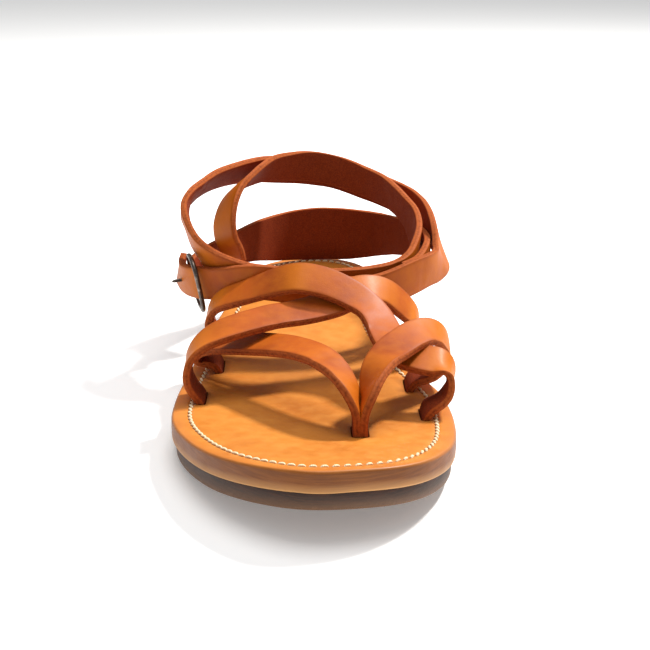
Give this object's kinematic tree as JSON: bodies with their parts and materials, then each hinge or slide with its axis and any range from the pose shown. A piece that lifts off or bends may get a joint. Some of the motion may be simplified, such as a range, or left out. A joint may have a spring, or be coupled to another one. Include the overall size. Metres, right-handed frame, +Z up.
{
  "type": "flat strappy sandal",
  "caption": "Flat leather sandal for the right foot with crossed instep straps, a heel band and a long ankle strap wound twice and closed with a buckle.",
  "frame": {"origin": "On the floor under the middle of the flat spot of the heel.", "axes": "Z up from the floor, toe towards -Y, medial side towards +X."},
  "size_m": [0.1083, 0.2512, 0.0723],
  "materials": {
    "sole": "dull dark brown edge, lightly scuffed",
    "insole_leather": "smooth tan with a soft sheen and fine grain",
    "strap_leather": "smooth orange brown with a soft sheen, paler cut edges",
    "buckle_metal": "dark, slightly worn metal",
    "thread": "pale waxed thread of the insole's seam"
  },
  "bodies": {
    "root": {"outsole": "sole", "insole": "insole_leather", "instep_straps": "strap_leather", "ankle_strap": "strap_leather", "heel_band": "strap_leather", "buckle_frame": "buckle_metal", "buckle_prong": "buckle_metal"}
  },
  "joints": []
}
